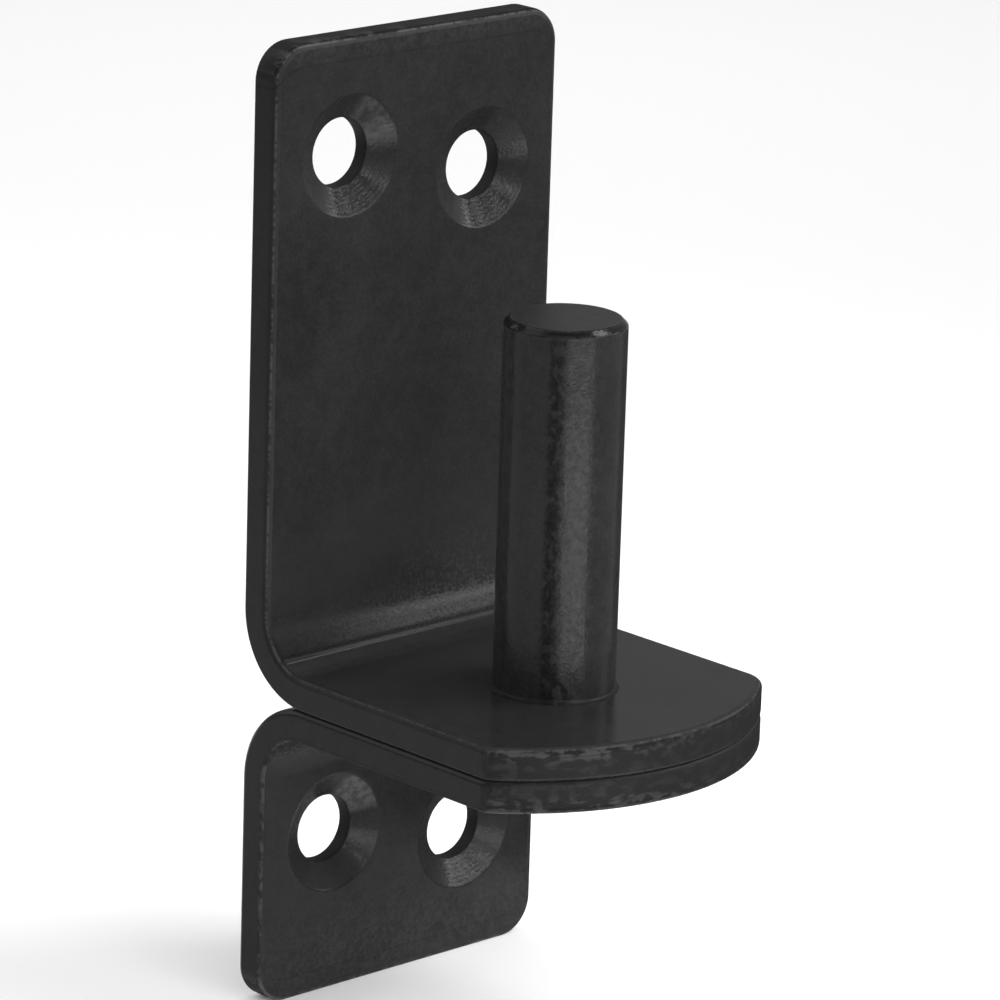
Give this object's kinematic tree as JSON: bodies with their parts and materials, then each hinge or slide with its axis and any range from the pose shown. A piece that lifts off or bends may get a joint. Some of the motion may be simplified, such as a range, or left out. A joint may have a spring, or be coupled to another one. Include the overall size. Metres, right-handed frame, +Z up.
{
  "type": "gate hinge pin",
  "caption": "Screw-on gate hinge pin: two bent flat-bar brackets share one shelf that carries an upright turned pin, with staggered countersunk screw holes.",
  "frame": {"origin": "on the pin's axis, level with the top of the shelf that the gate's band rests on", "axes": "+Z up along the pin, +Y into the post that the legs are screwed to, X across the bar"},
  "size_m": [0.04, 0.0465, 0.105],
  "materials": {
    "black_coat": "semi-gloss black coat on steel"
  },
  "bodies": {
    "root": {"upper_bracket": "black_coat", "lower_bracket": "black_coat", "hinge_pin": "black_coat"}
  },
  "joints": []
}
